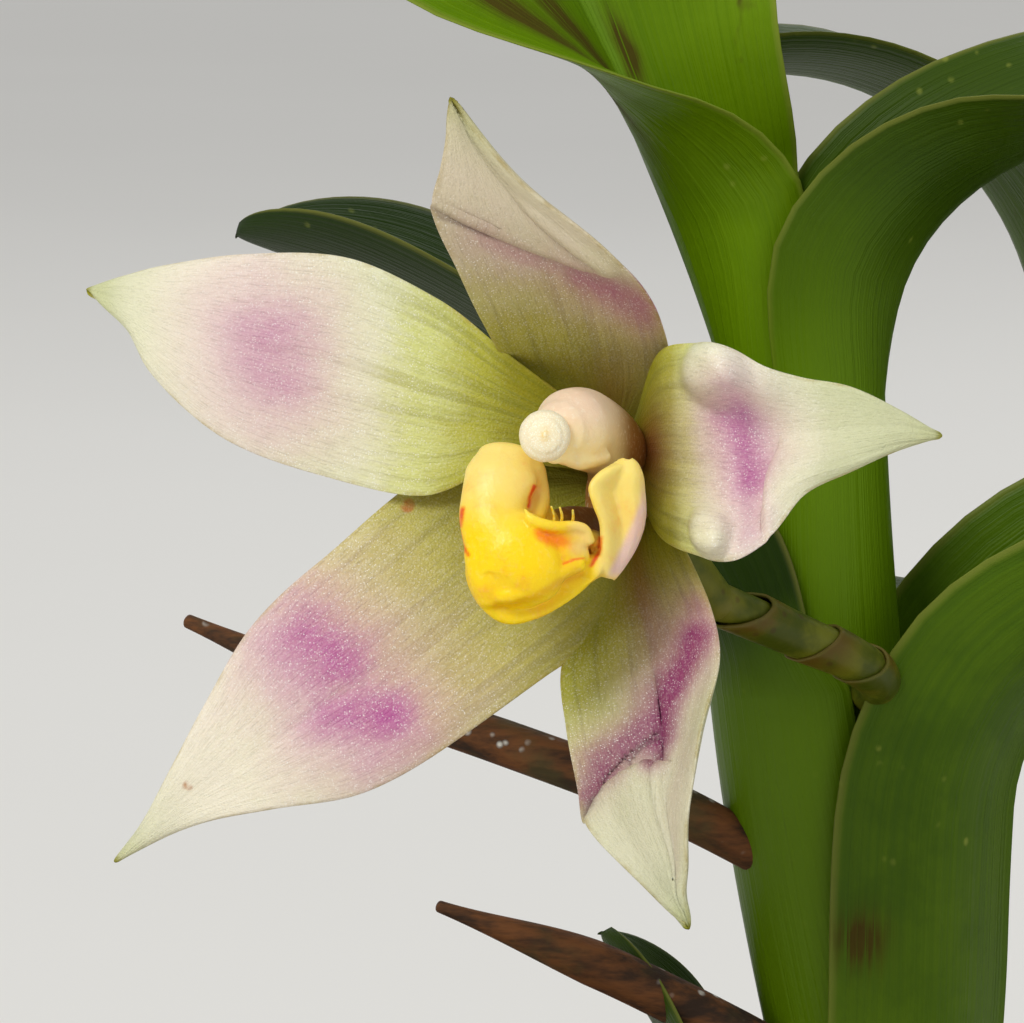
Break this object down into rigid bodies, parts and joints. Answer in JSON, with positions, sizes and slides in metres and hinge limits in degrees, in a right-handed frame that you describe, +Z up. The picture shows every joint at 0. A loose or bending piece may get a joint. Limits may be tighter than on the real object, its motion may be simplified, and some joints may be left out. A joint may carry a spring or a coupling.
{
  "type": "potted orchid",
  "caption": "Potted orchid with two-ranked strap leaves in a plain terracotta pot, and one white and mauve flower with a yellow lip on a short stalk.",
  "frame": {"origin": "centre of the pot's underside, in the plane that it stands on", "axes": "+Z up out of the pot, -Y the way the flower faces, +X to the right of the flower as seen from the front"},
  "size_m": [0.1744, 0.0988, 0.2467],
  "materials": {
    "terracotta": "matt unglazed terracotta with a faint mineral bloom",
    "bark": "rough damp bark chips",
    "root": "dry grey-green rhizome and roots",
    "stem": "smooth satin green stem",
    "leaf": "satin green with fine parallel veins and paler flecks",
    "dry_sheath": "dry papery sheath",
    "stalk": "green stalk with brown-tinged bracts",
    "spent_stalk": "dry brown stalk with whitish specks",
    "tepal": "crystalline white with an olive base and a mauve blotch",
    "lip": "waxy yellow with red and orange marks",
    "column": "waxy cream and pink"
  },
  "bodies": {
    "root": {"pot": "terracotta", "bark_mix": "bark", "rhizome": "root", "stem_main": "stem", "stem_older": "stem", "stem_young": "stem", "leaf_main_lowest": "leaf", "leaf_main_low": "leaf", "leaf_main_left": "leaf", "leaf_main_right": "leaf", "leaf_main_top": "leaf", "leaf_older_dry": "dry_sheath", "leaf_older_low": "leaf", "leaf_older_left": "leaf", "leaf_older_right": "leaf", "leaf_older_top": "leaf", "leaf_young_low": "leaf", "leaf_young_mid": "leaf", "leaf_young_top": "leaf", "flower_stalk": "stalk", "spent_stalk_upper": "spent_stalk", "spent_stalk_lower": "spent_stalk", "ovary": "stalk", "column": "column", "anther_cap": "column", "lip": "lip", "petal_left": "tepal", "petal_right": "tepal", "sepal_dorsal": "tepal", "sepal_left": "tepal", "sepal_right": "tepal"}
  },
  "joints": []
}
